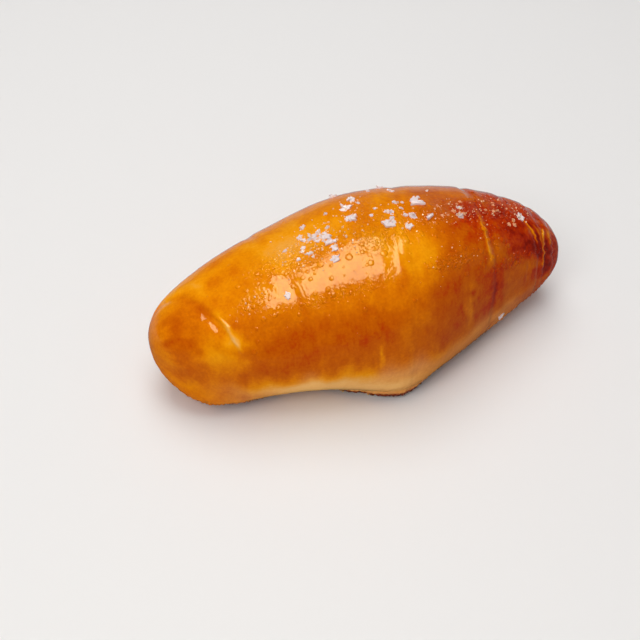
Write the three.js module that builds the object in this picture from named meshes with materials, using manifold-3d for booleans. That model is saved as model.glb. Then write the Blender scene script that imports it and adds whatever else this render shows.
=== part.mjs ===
// Salt bread roll: one piece of rolled, baked dough with flakes of sea salt stuck to its crown.
//
// The dough was a long tapering strip, rolled up and baked on its flat sole. Its axis runs along X, from a
// round blunt end (-X) to a browner tapering end (+X), and the long side with the sole's foot faces -Y.
// Every cross-section is a superellipse, rounder above its widest line than below, and the edges of the
// dough's wraps are low steps that run round the roll. Units are millimetres, +Z is up and the sole is on
// Z = 0. Places along the roll are given as x from its middle, and places round it as an angle: 0 is the
// back (+Y), 90 the crown, 180 the front (-Y) and 270 the sole.

import * as THREE from "three";
import { mergeVertices } from "three/addons/utils/BufferGeometryUtils.js";
import Module from "manifold-3d";

const wasm = await Module();
wasm.setup();

// ---- Driving dimensions ----
const LENGTH = 139;
const WIDTH = 65;
const HEIGHT = 52.5;
const HALF_LENGTH = LENGTH / 2;

// How blunt each end is: the exponent of its rounding in plan, over the crown and under the base.
const PLAN_BLUNTNESS = { blunt: 2.7, taper: 1.87 };
const CROWN_BLUNTNESS = { blunt: 2.55, taper: 4.3 };
const BASE_BLUNTNESS = { blunt: 3.6, taper: 2.55 };

// How far the axis has swung sideways at each end, towards +Y, and its slant between them.
const BOW = { blunt: -4.0, taper: 5.2 };
const SLANT = 3.2;

// What each side loses from the roll's middle to an end, between two shares of the half length.
const BLUNT_LOSS = { from: 0, to: -0.95, back: 10.9, front: 2.6, crown: 9.7 };
const TAPER_LOSS = { from: 0.1, to: 0.95, back: -7.2, front: 19.0, crown: 9.5 };
const SADDLE = { at: -24.5, reach: 17.5, depth: 3.0 }; // the shallow dip in the crown's line

// Cross-section: the widest line's height as a share of the crown's, how deep the roll has settled on its
// sole, and the superellipse exponents above and below the widest line.
const BELLY_SHARE = 0.46;
const SETTLING = 1.5;
const CROWN_EXPONENT = 2.15;
const BASE_EXPONENT = 3.0;

// The front base line stands out in a foot and a heel, and draws in between them.
const BASE_FLARES = [
  { at: 8.0, reach: 11.5, out: 3.8 }, // the foot
  { at: -23.6, reach: 13.9, out: -7.7 }, // the hollow
  { at: -58, reach: 13.9, out: 6.1 }, // the heel
];
const FLARE_SHARE = 2.6; // brings a flare to its full size at the base line's own angle

// Along the middle of the front the wall ends in a lip that reaches out over the table: where it starts and
// ends along X, over what length it fades, how far it reaches, and the sines between which it comes out.
const BASE_LIP = { from: -38, to: 18.8, fade: 8, out: 4.0, highest: 0.62, lowest: 0.92 };
const LIP_CLOSING = 4; // how soon under the sole the lip's reach runs out

// Wrap edges: place at the crown, how far the edge has travelled at the front, the outer layer's step, the
// step's width, how far back the lip runs out, and which way the inner layer lies (-1 or +1 along X).
const WRAP_EDGES = [
  { at: -56.5, travel: 15.5, step: 0.9, width: 1.6, reach: 6, side: -1 },
  { at: -27.2, travel: 8.0, step: 0.4, width: 1.3, reach: 5, side: -1 },
  { at: 11.0, travel: -2.0, step: 0.5, width: 2.0, reach: 6, side: 1 },
  { at: 37.4, travel: 1.8, step: 0.9, width: 1.2, reach: 6, side: 1 },
  { at: 51.6, travel: 4.8, step: 0.9, width: 1.0, reach: 4, side: 1 },
  { at: 58.6, travel: 2.7, step: 0.8, width: 0.9, reach: 3, side: 1 },
  { at: 63.6, travel: 2.7, step: 0.7, width: 0.8, reach: 2, side: 1 },
];
const GROOVE_SHARE = 0.6; // depth of the crease at a step's foot, as a share of the step
const SWELL_SHARE = 0.4; // height of the inner layer's swelling past the crease, as a share of the step

// Slow unevenness of the proved dough: height, waves along the half length, waves around, and phase.
const LUMPS = [
  { height: 0.45, along: 3.1, around: 2, phase: 0.7 },
  { height: 0.35, along: 5.3, around: 3, phase: 2.1 },
  { height: 0.25, along: 8.7, around: 4, phase: 4.4 },
];

// Grid of the roll's surface.
const RINGS = 86;
const SEGMENTS = 52;

// ---- Salt ----
// The flakes that stand out: place along X, angle round the roll, length, breadth and turn in degrees.
const LARGE_FLAKES = [
  { x: -5.5, angle: 52, length: 2.6, breadth: 2.0, turn: 20 },
  { x: 9.7, angle: 53, length: 2.4, breadth: 2.2, turn: 45 },
  { x: -1.2, angle: 71, length: 3.1, breadth: 2.6, turn: 75 },
  { x: -4.3, angle: 79, length: 3.9, breadth: 2.3, turn: 10 },
  { x: -3.7, angle: 88, length: 4.9, breadth: 2.4, turn: 160 },
  { x: 7.3, angle: 96, length: 4.7, breadth: 3.3, turn: 5 },
  { x: 9.1, angle: 89, length: 2.2, breadth: 1.6, turn: 85 },
  { x: 13.4, angle: 91, length: 2.0, breadth: 1.7, turn: 30 },
  { x: 15.7, angle: 93, length: 3.0, breadth: 2.1, turn: 125 },
  { x: 13.4, angle: 100, length: 3.1, breadth: 2.8, turn: 60 },
  { x: 18.7, angle: 82, length: 5.2, breadth: 4.2, turn: 15 },
  { x: 21.0, angle: 94, length: 4.4, breadth: 1.5, turn: 40 },
  { x: 31.2, angle: 94, length: 3.3, breadth: 2.2, turn: 150 },
  { x: 32.3, angle: 86, length: 2.6, breadth: 1.2, turn: 5 },
  { x: 53.2, angle: 89, length: 3.6, breadth: 3.1, turn: 70 },
  { x: -16.3, angle: 91, length: 4.3, breadth: 1.8, turn: 5 },
  { x: -12.8, angle: 93, length: 4.8, breadth: 2.9, turn: 130 },
  { x: -11.6, angle: 98, length: 4.0, breadth: 2.6, turn: 25 },
  { x: -10.6, angle: 103, length: 3.0, breadth: 2.0, turn: 100 },
  { x: -11.0, angle: 110, length: 3.2, breadth: 2.3, turn: 15 },
  { x: -18.1, angle: 80, length: 2.3, breadth: 1.7, turn: 50 },
  { x: -19.6, angle: 87, length: 2.2, breadth: 2.0, turn: 80 },
  { x: -18.1, angle: 100, length: 2.4, breadth: 2.0, turn: 35 },
  { x: -26.8, angle: 122, length: 2.7, breadth: 2.0, turn: 95 },
  { x: 45.5, angle: 205, length: 2.8, breadth: 1.6, turn: 15 },
];

// Smaller crystals, strewn round these places: spread along X, fan of the angle, number and range of sizes.
const SPRINKLES = [
  { x: -15, angle: 95, spread: 8, fan: 10, count: 16, least: 1.0, most: 2.2 },
  { x: 9, angle: 92, spread: 8, fan: 11, count: 10, least: 1.0, most: 2.0 },
  { x: 28, angle: 88, spread: 9, fan: 11, count: 10, least: 0.9, most: 1.8 },
  { x: 46, angle: 90, spread: 7, fan: 15, count: 9, least: 0.9, most: 1.6 },
  { x: 0, angle: 78, spread: 32, fan: 22, count: 9, least: 0.9, most: 1.7 },
];
const SALT_SEED = 41;
const FLAKE_CORNERS = 5;
const FLAKE_THICKNESS = 0.9; // from the middle of the crust up to the flake's face
const FLAKE_SUNK = 0.55; // share of the thickness that is in the crust
const FLAKE_LEAN = 14; // degrees a flake leans off the crust, at most
const CORNER_SHIFT = 0.3; // how far a corner strays, as a share of the angle between corners
const CORNER_CUT = 0.3; // how much of the radius a corner may lose

const clamp01 = (value) => Math.min(Math.max(value, 0), 1);
const signedPower = (value, exponent) => Math.sign(value) * Math.abs(value) ** exponent;
const bell = (x, at, reach) => Math.exp(-(((x - at) / reach) ** 2));

/** Eases from 0 at `from` to 1 at `to`. */
function ramp(from, to, value) {
  const share = clamp01((value - from) / (to - from));
  return share * share * (3 - 2 * share);
}

/** 1 between `from` and `to`, and easing to 0 inside both over the length `fade`. */
function stretch(x, { from, to, fade }) {
  return ramp(from, from + fade, x) * ramp(to, to - fade, x);
}

/** The rounding of the ends: 1 in the middle and 0 at both tips, with its own bluntness at each. */
function endRounding(share, bluntness) {
  const exponent = share < 0 ? bluntness.blunt : bluntness.taper;
  return Math.sqrt(Math.max(1 - Math.abs(share) ** exponent, 0));
}

/** One wrap edge's profile at a distance past the edge: a lip, a step down, a crease and a swelling. */
function wrapProfile(edge, past) {
  const lip = 0.5 * (1 - Math.tanh(past / edge.width)) * Math.exp(Math.min(past, 0) / edge.reach);
  const crease = GROOVE_SHARE * bell(past, edge.width, 1.3 * edge.width);
  const swell = SWELL_SHARE * bell(past, 4 * edge.width, 2 * edge.width);
  return edge.step * (lip - crease + swell);
}

/** Height of the crust over the smooth roll, from the wraps' edges and the dough's unevenness. */
function relief(x, angle) {
  const fromCrown = angle - Math.PI / 2;
  const turned = THREE.MathUtils.clamp(fromCrown, -Math.PI / 2, Math.PI / 2);
  let height = 0;
  for (const edge of WRAP_EDGES) {
    height += wrapProfile(edge, edge.side * (x - edge.at - edge.travel * Math.sin(turned)));
  }
  for (const lump of LUMPS) {
    const along = (lump.along * x) / HALF_LENGTH;
    height += lump.height * Math.sin(along + lump.phase) * Math.cos(lump.around * angle + lump.phase);
  }
  return height * ramp(-0.9, -0.2, Math.sin(angle)); // the wraps run out towards the sole
}

/** The roll's cross-section at a share -1..1 of the half length: its centre, half widths and heights. */
function section(share) {
  const x = share * HALF_LENGTH;
  const blunt = ramp(BLUNT_LOSS.from, BLUNT_LOSS.to, share);
  const taper = ramp(TAPER_LOSS.from, TAPER_LOSS.to, share);
  const plan = endRounding(share, PLAN_BLUNTNESS);
  const saddle = SADDLE.depth * bell(x, SADDLE.at, SADDLE.reach);
  const crown = HEIGHT - saddle - BLUNT_LOSS.crown * blunt - TAPER_LOSS.crown * taper;
  return {
    x,
    plan,
    y: (share < 0 ? BOW.blunt : BOW.taper) * share ** 2 + SLANT * share,
    z: BELLY_SHARE * crown,
    back: plan * (WIDTH / 2 - BLUNT_LOSS.back * blunt - TAPER_LOSS.back * taper),
    front: plan * (WIDTH / 2 - BLUNT_LOSS.front * blunt - TAPER_LOSS.front * taper),
    over: endRounding(share, CROWN_BLUNTNESS) * (1 - BELLY_SHARE) * crown,
    under: endRounding(share, BASE_BLUNTNESS) * (BELLY_SHARE * crown + SETTLING),
    flare: plan * BASE_FLARES.reduce((sum, part) => sum + part.out * bell(x, part.at, part.reach), 0),
    lip: BASE_LIP.out * stretch(x, BASE_LIP),
  };
}

/** A point of the crust, at a share of the half length and an angle round the roll. */
function crustPoint(share, angle) {
  const cut = section(share);
  const cosine = Math.cos(angle);
  const sine = Math.sin(angle);
  const exponent = 2 / (sine < 0 ? BASE_EXPONENT : CROWN_EXPONENT);
  const flared = cut.flare * FLARE_SHARE * Math.max(-sine, 0) ** 2 * Math.max(-cosine, 0);
  const lipped = cut.lip * ramp(BASE_LIP.highest, BASE_LIP.lowest, -sine) * clamp01(-LIP_CLOSING * cosine);
  const raised = relief(cut.x, angle) * clamp01(3 * cut.plan); // the tips close to a point
  const half = cosine < 0 ? cut.front : cut.back;
  const height = sine < 0 ? cut.under : cut.over;
  return new THREE.Vector3(
    cut.x,
    cut.y + half * signedPower(cosine, exponent) - flared - lipped + raised * cosine,
    cut.z + height * signedPower(sine, exponent) + raised * sine,
  );
}

/** A closed three.js geometry as a solid that can be joined and cut. */
function solidFrom(geometry) {
  geometry.deleteAttribute("normal");
  geometry.deleteAttribute("uv");
  const merged = mergeVertices(geometry, 1e-4);
  return new wasm.Manifold(
    new wasm.Mesh({
      numProp: 3,
      vertProperties: new Float32Array(merged.attributes.position.array),
      triVerts: new Uint32Array(merged.index.array),
    }),
  );
}

/** The dough: a sphere with its poles on X, carried point by point onto the crust, and cut off at Z = 0. */
function makeDough() {
  const geometry = new THREE.SphereGeometry(1, SEGMENTS, RINGS).rotateZ(-Math.PI / 2);
  const position = geometry.attributes.position;
  for (let i = 0; i < position.count; i++) {
    const share = THREE.MathUtils.clamp(position.getX(i), -1, 1);
    const onAxis = 1 - Math.abs(share) < 1e-9;
    const angle = onAxis ? 0 : Math.atan2(position.getZ(i), position.getY(i));
    const point = crustPoint(share, angle < -Math.PI / 2 ? angle + 2 * Math.PI : angle);
    position.setXYZ(i, point.x, point.y, point.z);
  }
  const below = new THREE.BoxGeometry(2 * LENGTH, 2 * LENGTH, HEIGHT).translate(0, 0, -HEIGHT / 2);
  return solidFrom(geometry).subtract(solidFrom(below));
}

/** A repeatable stream of random numbers from 0 to 1 (32-bit mulberry). */
function makeRandom(seed) {
  let state = seed;
  return () => {
    state = (state + 0x6d2b79f5) | 0;
    let mixed = Math.imul(state ^ (state >>> 15), 1 | state);
    mixed = (mixed + Math.imul(mixed ^ (mixed >>> 7), 61 | mixed)) ^ mixed;
    return ((mixed ^ (mixed >>> 14)) >>> 0) / 2 ** 32;
  };
}

/** Every flake's place and size: the large ones first, then the sprinkles. */
function placeFlakes(random) {
  const strayed = () => random() + random() + random() - 1.5; // a rough bell from -1.5 to 1.5
  const flakes = [...LARGE_FLAKES];
  for (const patch of SPRINKLES) {
    for (let i = 0; i < patch.count; i++) {
      const length = patch.least + (patch.most - patch.least) * random();
      const breadth = length * (0.6 + 0.4 * random());
      const x = patch.x + patch.spread * strayed();
      const angle = patch.angle + patch.fan * strayed();
      flakes.push({ x, angle, length, breadth, turn: 360 * random() });
    }
  }
  return flakes;
}

/** One flake's geometry on the XY plane: a flat chip with uneven corners, leaning as it fell. */
function flakeGeometry(flake, random) {
  const corners = [];
  for (let i = 0; i < FLAKE_CORNERS; i++) {
    const around = (2 * Math.PI * (i + CORNER_SHIFT * (2 * random() - 1))) / FLAKE_CORNERS;
    const radius = 0.5 * (1 - CORNER_CUT * random());
    const along = radius * flake.length * Math.cos(around);
    corners.push(new THREE.Vector2(along, radius * flake.breadth * Math.sin(around)));
  }
  const lean = () => THREE.MathUtils.degToRad(FLAKE_LEAN * (2 * random() - 1));
  return new THREE.ExtrudeGeometry(new THREE.Shape(corners), { depth: FLAKE_THICKNESS, bevelEnabled: false })
    .translate(0, 0, -FLAKE_THICKNESS * FLAKE_SUNK)
    .rotateX(lean())
    .rotateY(lean())
    .rotateZ(THREE.MathUtils.degToRad(flake.turn));
}

/** Turns and moves a flat geometry so that it lies on the crust where the flake is. */
function layOnCrust(geometry, flake) {
  const share = flake.x / HALF_LENGTH;
  const angle = THREE.MathUtils.degToRad(flake.angle);
  const nudge = 0.02; // half the span over which the crust's slope is measured
  const along = crustPoint(share + nudge, angle).sub(crustPoint(share - nudge, angle)).normalize();
  const round = crustPoint(share, angle + nudge).sub(crustPoint(share, angle - nudge));
  const outward = round.cross(along).normalize();
  const side = outward.clone().cross(along);
  const place = crustPoint(share, angle);
  return geometry.applyMatrix4(new THREE.Matrix4().makeBasis(along, side, outward).setPosition(place));
}

/** The dough with every flake joined to it. */
function makeRoll() {
  const random = makeRandom(SALT_SEED);
  let roll = makeDough();
  for (const flake of placeFlakes(random)) {
    roll = roll.add(solidFrom(layOnCrust(flakeGeometry(flake, random), flake)));
  }
  return roll;
}

/** The geometry of a solid, with the middle of its box over the origin. */
function centredGeometry(solid) {
  const mesh = solid.getMesh();
  const geometry = new THREE.BufferGeometry();
  geometry.setAttribute("position", new THREE.BufferAttribute(mesh.vertProperties, 3));
  geometry.setIndex(new THREE.BufferAttribute(mesh.triVerts, 1));
  geometry.computeBoundingBox();
  const middle = geometry.boundingBox.getCenter(new THREE.Vector3());
  geometry.translate(-middle.x, -middle.y, 0);
  geometry.computeVertexNormals();
  return geometry;
}

const crust = new THREE.MeshStandardMaterial({ color: 0xc9700f, roughness: 0.3, metalness: 0 });
const roll = new THREE.Mesh(centredGeometry(makeRoll()), crust);
roll.name = "salt_bread_roll";

const group = new THREE.Group();
group.add(roll);

export default group;
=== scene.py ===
"""A salt bread roll: a rolled dough baked to a buttery, unevenly browned crust, with flakes of sea salt.

Sizes are millimetres, and become metres when a mesh is made; the studio's are metres. Places on the crust are
an x along the roll from its middle and a turn round it: 0 is the back (+Y), a quarter turn the crown, a half
turn the front (-Y) and three quarters the middle of the flat sole. What is called angle is in radians, apart
from a field whose comment says degrees, and what is called degrees in degrees.
"""

import logging
import math
from dataclasses import dataclass
from enum import Enum
from functools import cached_property

import bpy
import numpy as np
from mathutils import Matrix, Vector


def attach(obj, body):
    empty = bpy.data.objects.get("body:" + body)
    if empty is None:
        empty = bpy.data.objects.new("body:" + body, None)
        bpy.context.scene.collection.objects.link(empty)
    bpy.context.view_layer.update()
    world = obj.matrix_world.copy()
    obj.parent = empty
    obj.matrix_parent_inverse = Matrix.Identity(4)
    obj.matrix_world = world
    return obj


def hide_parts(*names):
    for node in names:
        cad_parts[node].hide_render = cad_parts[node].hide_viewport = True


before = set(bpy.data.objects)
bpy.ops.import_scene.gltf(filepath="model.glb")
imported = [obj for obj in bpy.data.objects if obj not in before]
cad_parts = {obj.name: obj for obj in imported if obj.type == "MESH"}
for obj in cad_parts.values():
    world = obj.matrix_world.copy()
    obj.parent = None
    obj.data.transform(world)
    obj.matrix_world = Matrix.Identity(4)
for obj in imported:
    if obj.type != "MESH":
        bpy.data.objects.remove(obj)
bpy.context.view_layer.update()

MM = 0.001
BODY = "root"
CAD_ROLL = "salt_bread_roll"
LOG = logging.getLogger("salt_bread_roll")

Array = np.ndarray
Material = bpy.types.Material
Object = bpy.types.Object
Socket = bpy.types.NodeSocket
Pair = tuple[float, float]
Triple = tuple[float, float, float]
Four = tuple[float, float, float, float]
Colour = Triple
Stops = tuple[Four, ...]
Rings = tuple[Pair, ...]


# ---- Curves that the shapes are made of ----


def bell(value: Array, at: float, reach: float) -> Array:
    """A bell of height 1: e to the minus square of the distance from `at` in reaches."""
    return np.exp(-(((value - at) / reach) ** 2))


def ramp(start: float, end: float, value: Array) -> Array:
    """Eases from 0 at start to 1 at end: 3t^2 - 2t^3 of the clamped share t between them."""
    share = np.clip((value - start) / (end - start), 0.0, 1.0)
    return share * share * (3.0 - 2.0 * share)


def within(value: Array, start: float, end: float, fade: float) -> Array:
    """1 between start and end, eased in and out over the fade at either of them."""
    return ramp(start, start + fade, value) * ramp(end, end - fade, value)


def signed_power(value: Array, exponent: Array) -> Array:
    """The size of a value raised to an exponent, with the value's own sign."""
    return np.sign(value) * np.abs(value) ** exponent


def unwrapped(x: Array, travel: float, angle: Array) -> Array:
    """x less travel times the sine of the angle off the crown, held to a quarter turn: it follows a wrap."""
    return x - travel * np.sin(np.clip(angle - math.pi / 2.0, -math.pi / 2.0, math.pi / 2.0))


def each(kind: type, *rows: tuple) -> tuple:
    """One thing of a kind for each row of its fields."""
    return tuple(kind(*row) for row in rows)


@dataclass(frozen=True)
class Ends:
    """One value for each end of the roll."""

    blunt: float  # Towards the blunt end, -X
    taper: float  # Towards the tapering end, +X

    def at(self, share: Array) -> Array:
        """The value on the side of the middle that a share of the half length lies on."""
        return np.where(share < 0.0, self.blunt, self.taper)


@dataclass(frozen=True)
class Swell:
    """A bell of a given size at a place."""

    at: float  # Its place
    reach: float  # Distance over which it fades to 1/e
    size: float  # Its height

    def value(self, place: Array) -> Array:
        """The bell's height at a place."""
        return self.size * bell(place, self.at, self.reach)


@dataclass(frozen=True)
class Rise:
    """An eased rise from nothing to a given size."""

    start: float  # Where it begins
    end: float  # Where it is complete
    size: float = 1.0  # How much it comes to

    def value(self, place: Array) -> Array:
        """How far it has risen at a place."""
        return self.size * ramp(self.start, self.end, place)


@dataclass(frozen=True)
class EndLoss:
    """What the back, front and crown lose between the roll's middle and one end."""

    along: Rise  # How it grows with the share of the half length
    back: float  # Loss of the half width on the back side
    front: float  # Loss of the half width on the front side
    crown: float  # Loss of the crown's height


@dataclass(frozen=True)
class Ripples:
    """Smooth random unevenness: a seeded sum of sine waves whose wave vectors are drawn from a bell."""

    height: float  # Standard deviation of the result
    along: float  # Typical wavelength along X
    around: float  # Typical wavelength round the roll
    seed: int  # Seed of the draws
    waves: int = 36  # Number of waves in the sum
    variety: float = 0.8  # Spread of the drawn wave vectors

    def value(self, x: Array, arc: Array) -> Array:
        """The sum over the waves of sin(2 pi (a x / along + b arc / around) + phase), brought to its height.

        Args:
            x: Places along the roll.
            arc: Places round the roll, as lengths.

        Returns:
            The unevenness at those places.
        """
        random = np.random.default_rng(self.seed)
        total = np.zeros(np.broadcast(x, arc).shape)
        for _ in range(self.waves):
            a, b = random.normal(0.0, self.variety, 2)
            phase = random.uniform(0.0, 2.0 * math.pi)
            total += np.sin(2.0 * math.pi * (a * x / self.along + b * arc / self.around) + phase)
        return self.height * total * math.sqrt(2.0 / self.waves)


# ---- The roll's form ----


@dataclass(frozen=True)
class BaseLip:
    """The lip at the foot of the front wall, which reaches out over the table."""

    start: float = -38.0  # Where it starts along X
    end: float = 18.8  # Where it ends
    fade: float = 8.0  # Length over which it fades at either end
    down: Rise = Rise(0.62, 0.92, 4.0)  # How far it reaches out, by the sine below the widest line
    closing: float = 4.0  # How soon under the sole it runs out

    def reach(self, x: Array, sine: Array, cosine: Array) -> Array:
        """How far the lip stands out: its reach eased in along X, down the wall and in under the sole."""
        out = within(x, self.start, self.end, self.fade) * self.down.value(-sine)
        return out * np.clip(-self.closing * cosine, 0.0, 1.0)


@dataclass(frozen=True)
class WrapEdge:
    """The edge of one wrap of the dough: a lip, a step down to the next layer, a crease and a swelling."""

    at: float  # Place of the edge on the crown
    travel: float  # How far it has moved along X by the front
    step: float  # Height of the step
    width: float  # Length over which it steps down
    reach: float  # How far back the lip runs out
    side: int  # Way the lower layer lies, -1 or +1 along X
    hair: float = 0.12  # Depth of the hairline crease right under the step
    last: float = 270.0  # Degrees by which the edge has run out
    fade: float = 40.0  # Degrees over which it does
    hair_width: float = 0.35  # Half width of the hairline
    crease: Swell = Swell(1.0, 1.3, 0.6)  # The crease, in widths and steps
    swelling: Swell = Swell(4.0, 2.0, 0.4)  # The swelling past it, in the same

    def past(self, x: Array, angle: Array) -> Array:
        """Distance past the edge, towards the lower layer."""
        return self.side * (unwrapped(x, self.travel, angle) - self.at)

    def shown(self, angle: Array) -> Array:
        """How much of the edge is left at an angle."""
        return ramp(self.last, self.last - self.fade, np.degrees(angle))

    def height(self, past: Array) -> Array:
        """Height over the smooth form: half of 1 - tanh, dying out behind, less a crease, plus a swelling.

        Args:
            past: Distances past the edge.

        Returns:
            The relief, as high as the step just behind the edge.
        """
        own = past / self.width
        lip = 0.5 * (1.0 - np.tanh(own)) * np.exp(np.minimum(past, 0.0) / self.reach)
        hairline = self.hair * bell(past, 0.5 * self.width, self.hair_width)
        return self.step * (lip - self.crease.value(own) + self.swelling.value(own)) - hairline


@dataclass(frozen=True)
class Hair:
    """A hairline crease or ridge that runs round the roll as the wraps do."""

    at: float  # Place on the crown
    travel: float  # How far it has moved along X by the front
    depth: float  # Depth of the crease, or less than 0 for a ridge
    width: float  # Its half width
    first: float  # Degrees where it begins
    last: float  # Degrees where it ends
    ease: float = 12.0  # Degrees over which it fades at either end

    def depth_at(self, x: Array, angle: Array) -> Array:
        """Its depth at a place: a bell across it, eased in and out at its two ends."""
        shown = within(np.degrees(angle), self.first, self.last, self.ease)
        return self.depth * shown * bell(unwrapped(x, self.travel, angle), self.at, self.width)


@dataclass(frozen=True)
class RollForm:
    """The whole form of the roll: superellipse sections carried along a bowed axis, with relief on them."""

    length: float = 139.0  # Length along X
    width: float = 65.0  # Width across the middle
    height: float = 52.5  # Height of the crown
    plan_bluntness: Ends = Ends(2.7, 1.87)  # Exponents of the ends' rounding in plan
    crown_bluntness: Ends = Ends(2.55, 4.3)  # The same over the crown
    base_bluntness: Ends = Ends(3.6, 2.55)  # The same under the base
    bow: Ends = Ends(-4.0, 5.2)  # Sideways swing of the axis at each end
    slant: float = 3.2  # Slope of the axis between them
    losses: tuple[EndLoss, ...] = (  # What the sides lose towards the blunt and the tapering end
        EndLoss(Rise(0.0, -0.95), 10.9, 2.6, 9.7),
        EndLoss(Rise(0.1, 0.95), -7.2, 19.0, 9.5),
    )
    saddle: Swell = Swell(-24.5, 17.5, 3.0)  # The shallow dip in the crown's line
    belly_share: float = 0.46  # Height of the widest line as a share of the crown's
    settling: float = 1.5  # How deep the roll has settled on its sole
    crown_exponent: float = 2.15  # Superellipse exponent above the widest line
    base_exponent: float = 3.0  # The same below it
    flares: tuple[Swell, ...] = each(Swell, (8.0, 11.5, 3.8), (-23.6, 13.9, -7.7), (-58.0, 13.9, 6.1))
    flare_share: float = 2.6  # What brings a flare of the front base line to its full size at that line
    tip_relief: float = 3.0  # How soon off a tip the relief is whole, by the tip's rounding
    lip: BaseLip = BaseLip()

    def rounding(self, share: Array, bluntness: Ends) -> Array:
        """The rounding of the ends: the root of 1 - |share| to the end's own exponent."""
        return np.sqrt(np.maximum(1.0 - np.abs(share) ** bluntness.at(share), 0.0))

    def left(self, whole: Array, side: str, share: Array) -> Array:
        """What a share of the half length leaves of a size of the middle section, after both ends' losses."""
        return whole - sum(getattr(loss, side) * loss.along.value(share) for loss in self.losses)

    def points(self, x: Array, angle: Array, raised: Array | float) -> Array:
        """Points of the crust.

        Each section is a superellipse: its half width times cos to the power 2/n sideways and its height over
        or under the widest line times sin to that power, with the flares and the lip taken off the front, and
        the relief added along the direction of the angle. What would lie under the table is brought up to it.

        Args:
            x: Places along the roll.
            angle: Angles round it.
            raised: Relief over the smooth form.

        Returns:
            The points, with a last axis of three.
        """
        share = np.clip(x / (self.length / 2.0), -1.0, 1.0)
        plan = self.rounding(share, self.plan_bluntness)
        crown = self.left(self.height - self.saddle.value(x), "crown", share)
        back, front = (self.left(self.width / 2.0, side, share) for side in ("back", "front"))
        over = self.rounding(share, self.crown_bluntness) * (1.0 - self.belly_share) * crown
        under = self.rounding(share, self.base_bluntness) * (self.belly_share * crown + self.settling)
        cosine, sine = np.cos(angle), np.sin(angle)
        exponent = 2.0 / np.where(sine < 0.0, self.base_exponent, self.crown_exponent)
        flare = self.flare_share * plan * sum(swell.value(x) for swell in self.flares)
        flare = flare * np.maximum(-sine, 0.0) ** 2 * np.maximum(-cosine, 0.0)
        raised = raised * np.clip(self.tip_relief * plan, 0.0, 1.0)
        half = plan * np.where(cosine < 0.0, front, back)
        y = self.bow.at(share) * share**2 + self.slant * share + half * signed_power(cosine, exponent)
        y = y - flare - self.lip.reach(x, sine, cosine) + raised * cosine
        z = self.belly_share * crown + np.where(sine < 0.0, under, over) * signed_power(sine, exponent)
        z = np.maximum(z + raised * sine, 0.0)
        return np.stack(np.broadcast_arrays(x, y, z), axis=-1)


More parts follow.
